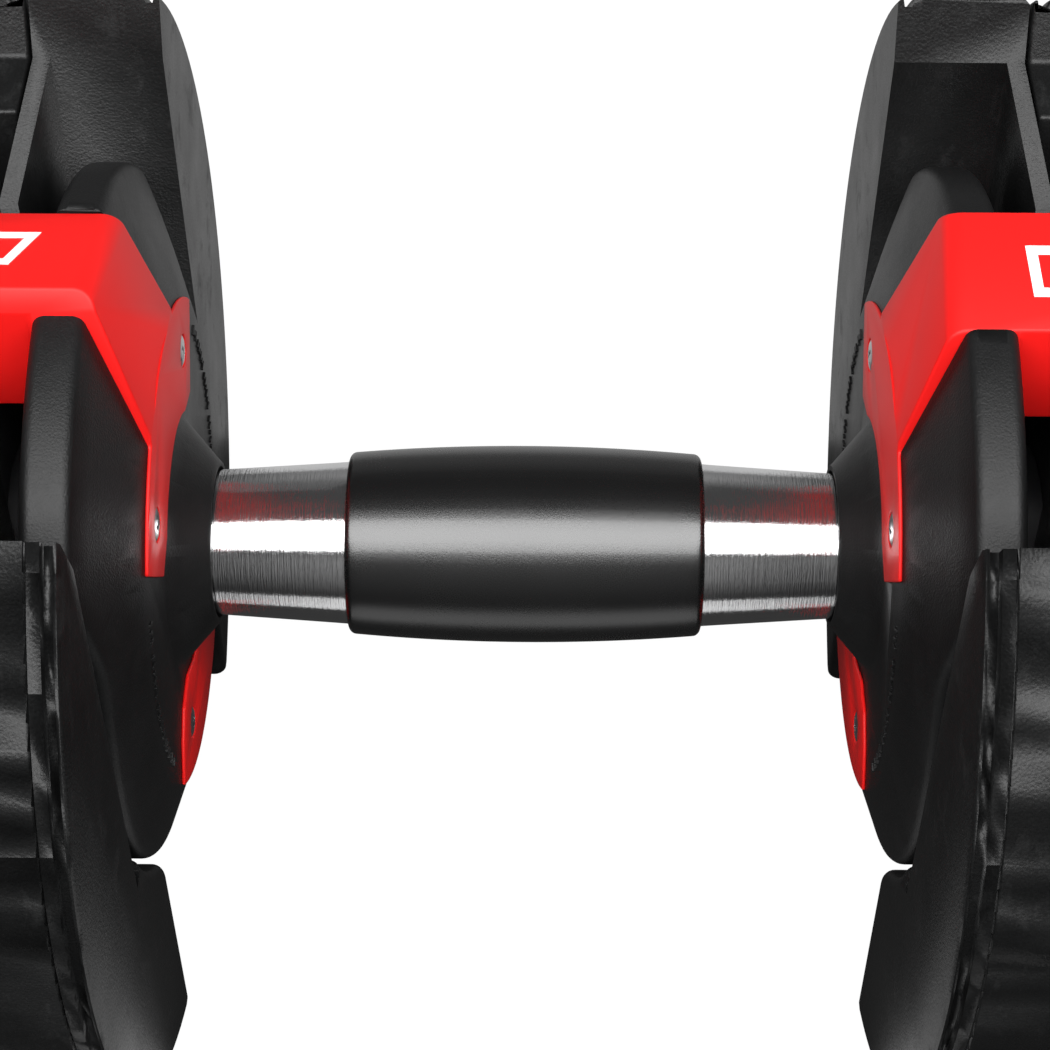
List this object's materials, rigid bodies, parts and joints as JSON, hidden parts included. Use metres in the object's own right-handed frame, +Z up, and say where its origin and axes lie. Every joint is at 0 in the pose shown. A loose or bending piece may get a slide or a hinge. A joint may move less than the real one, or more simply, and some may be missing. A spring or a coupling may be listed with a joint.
{
  "type": "adjustable dumbbell",
  "caption": "Adjustable dumbbell with a rubber grip on a chrome handle, round hub covers, red bridges, slotted weight plates and a selector dial at each end.",
  "frame": {"origin": "centre of the bounding box on the surface that the plates stand on", "axes": "+X along the handle, +Z up"},
  "size_m": [0.4, 0.21, 0.171],
  "materials": {
    "grip_rubber": "satin",
    "chrome": "polished",
    "steel": "zinc plated",
    "hub_plastic": "fine leather texture",
    "plate_coating": "black moulded coating",
    "red_plastic": "satin",
    "disc_plastic": "satin",
    "dial_plastic": "satin",
    "marking_white": "satin"
  },
  "bodies": {
    "handle": {"grip": "grip_rubber", "handle_tube": "chrome", "axle": "steel", "left_hub_cover": "hub_plastic", "left_hub_backing": "steel", "left_top_cover": "red_plastic", "left_lower_trim": "red_plastic", "left_hub_screws": "steel", "left_end_bracket": "hub_plastic", "left_bracket_screws": "steel", "left_dial_pointer": "marking_white", "left_axle_washer": "steel", "left_axle_nut": "steel", "left_lock_spring": "steel", "right_hub_cover": "hub_plastic", "right_hub_backing": "steel", "right_top_cover": "red_plastic", "right_lower_trim": "red_plastic", "right_hub_screws": "steel", "right_end_bracket": "hub_plastic", "right_bracket_screws": "steel", "right_dial_pointer": "marking_white", "right_axle_washer": "steel", "right_axle_nut": "steel", "right_lock_spring": "steel"},
    "left_selector": {"left_selector_spindle": "steel", "left_dial": "dial_plastic", "left_number_ring": "red_plastic", "left_dial_knob": "dial_plastic", "left_selector_disc_1": "disc_plastic", "left_selector_disc_2": "disc_plastic", "left_selector_disc_3": "disc_plastic", "left_selector_disc_4": "disc_plastic", "left_selector_disc_5": "disc_plastic", "left_selector_disc_6": "disc_plastic"},
    "left_lock": {"left_lock_plunger": "red_plastic"},
    "left_plate_1": {"left_plate_1": "plate_coating"},
    "left_plate_2": {"left_plate_2": "plate_coating"},
    "left_plate_3": {"left_plate_3": "plate_coating"},
    "left_plate_4": {"left_plate_4": "plate_coating"},
    "left_plate_5": {"left_plate_5": "plate_coating"},
    "left_plate_6": {"left_plate_6": "plate_coating"},
    "right_selector": {"right_selector_spindle": "steel", "right_dial": "dial_plastic", "right_number_ring": "red_plastic", "right_dial_knob": "dial_plastic", "right_selector_disc_1": "disc_plastic", "right_selector_disc_2": "disc_plastic", "right_selector_disc_3": "disc_plastic", "right_selector_disc_4": "disc_plastic", "right_selector_disc_5": "disc_plastic", "right_selector_disc_6": "disc_plastic"},
    "right_lock": {"right_lock_plunger": "red_plastic"},
    "right_plate_1": {"right_plate_1": "plate_coating"},
    "right_plate_2": {"right_plate_2": "plate_coating"},
    "right_plate_3": {"right_plate_3": "plate_coating"},
    "right_plate_4": {"right_plate_4": "plate_coating"},
    "right_plate_5": {"right_plate_5": "plate_coating"},
    "right_plate_6": {"right_plate_6": "plate_coating"}
  },
  "joints": [
    {"name": "left_dial_turn", "type": "hinge", "parent": "handle", "child": "left_selector", "pos_m": [-0.18, 0, 0.093], "axis": [-1, 0, 0], "range_deg": [0, 337.5]},
    {"name": "left_lock_press", "type": "slide", "parent": "handle", "child": "left_lock", "axis": [0, 0, 1], "range_m": [0, 0.005], "stiffness_N_per_m": 300, "springref_m": -0.004, "deforming": ["left_lock_spring"]},
    {"name": "left_plate_1_lift_out", "type": "slide", "parent": "handle", "child": "left_plate_1", "axis": [0, 0, 1], "range_m": [-0.25, 0]},
    {"name": "left_plate_2_lift_out", "type": "slide", "parent": "handle", "child": "left_plate_2", "axis": [0, 0, 1], "range_m": [-0.25, 0]},
    {"name": "left_plate_3_lift_out", "type": "slide", "parent": "handle", "child": "left_plate_3", "axis": [0, 0, 1], "range_m": [-0.25, 0]},
    {"name": "left_plate_4_lift_out", "type": "slide", "parent": "handle", "child": "left_plate_4", "axis": [0, 0, 1], "range_m": [-0.25, 0]},
    {"name": "left_plate_5_lift_out", "type": "slide", "parent": "handle", "child": "left_plate_5", "axis": [0, 0, 1], "range_m": [-0.25, 0]},
    {"name": "left_plate_6_lift_out", "type": "slide", "parent": "handle", "child": "left_plate_6", "axis": [0, 0, 1], "range_m": [-0.25, 0]},
    {"name": "right_dial_turn", "type": "hinge", "parent": "handle", "child": "right_selector", "pos_m": [0.18, 0, 0.093], "axis": [1, 0, 0], "range_deg": [0, 337.5]},
    {"name": "right_lock_press", "type": "slide", "parent": "handle", "child": "right_lock", "axis": [0, 0, 1], "range_m": [0, 0.005], "stiffness_N_per_m": 300, "springref_m": -0.004, "deforming": ["right_lock_spring"]},
    {"name": "right_plate_1_lift_out", "type": "slide", "parent": "handle", "child": "right_plate_1", "axis": [0, 0, 1], "range_m": [-0.25, 0]},
    {"name": "right_plate_2_lift_out", "type": "slide", "parent": "handle", "child": "right_plate_2", "axis": [0, 0, 1], "range_m": [-0.25, 0]},
    {"name": "right_plate_3_lift_out", "type": "slide", "parent": "handle", "child": "right_plate_3", "axis": [0, 0, 1], "range_m": [-0.25, 0]},
    {"name": "right_plate_4_lift_out", "type": "slide", "parent": "handle", "child": "right_plate_4", "axis": [0, 0, 1], "range_m": [-0.25, 0]},
    {"name": "right_plate_5_lift_out", "type": "slide", "parent": "handle", "child": "right_plate_5", "axis": [0, 0, 1], "range_m": [-0.25, 0]},
    {"name": "right_plate_6_lift_out", "type": "slide", "parent": "handle", "child": "right_plate_6", "axis": [0, 0, 1], "range_m": [-0.25, 0]}
  ]
}
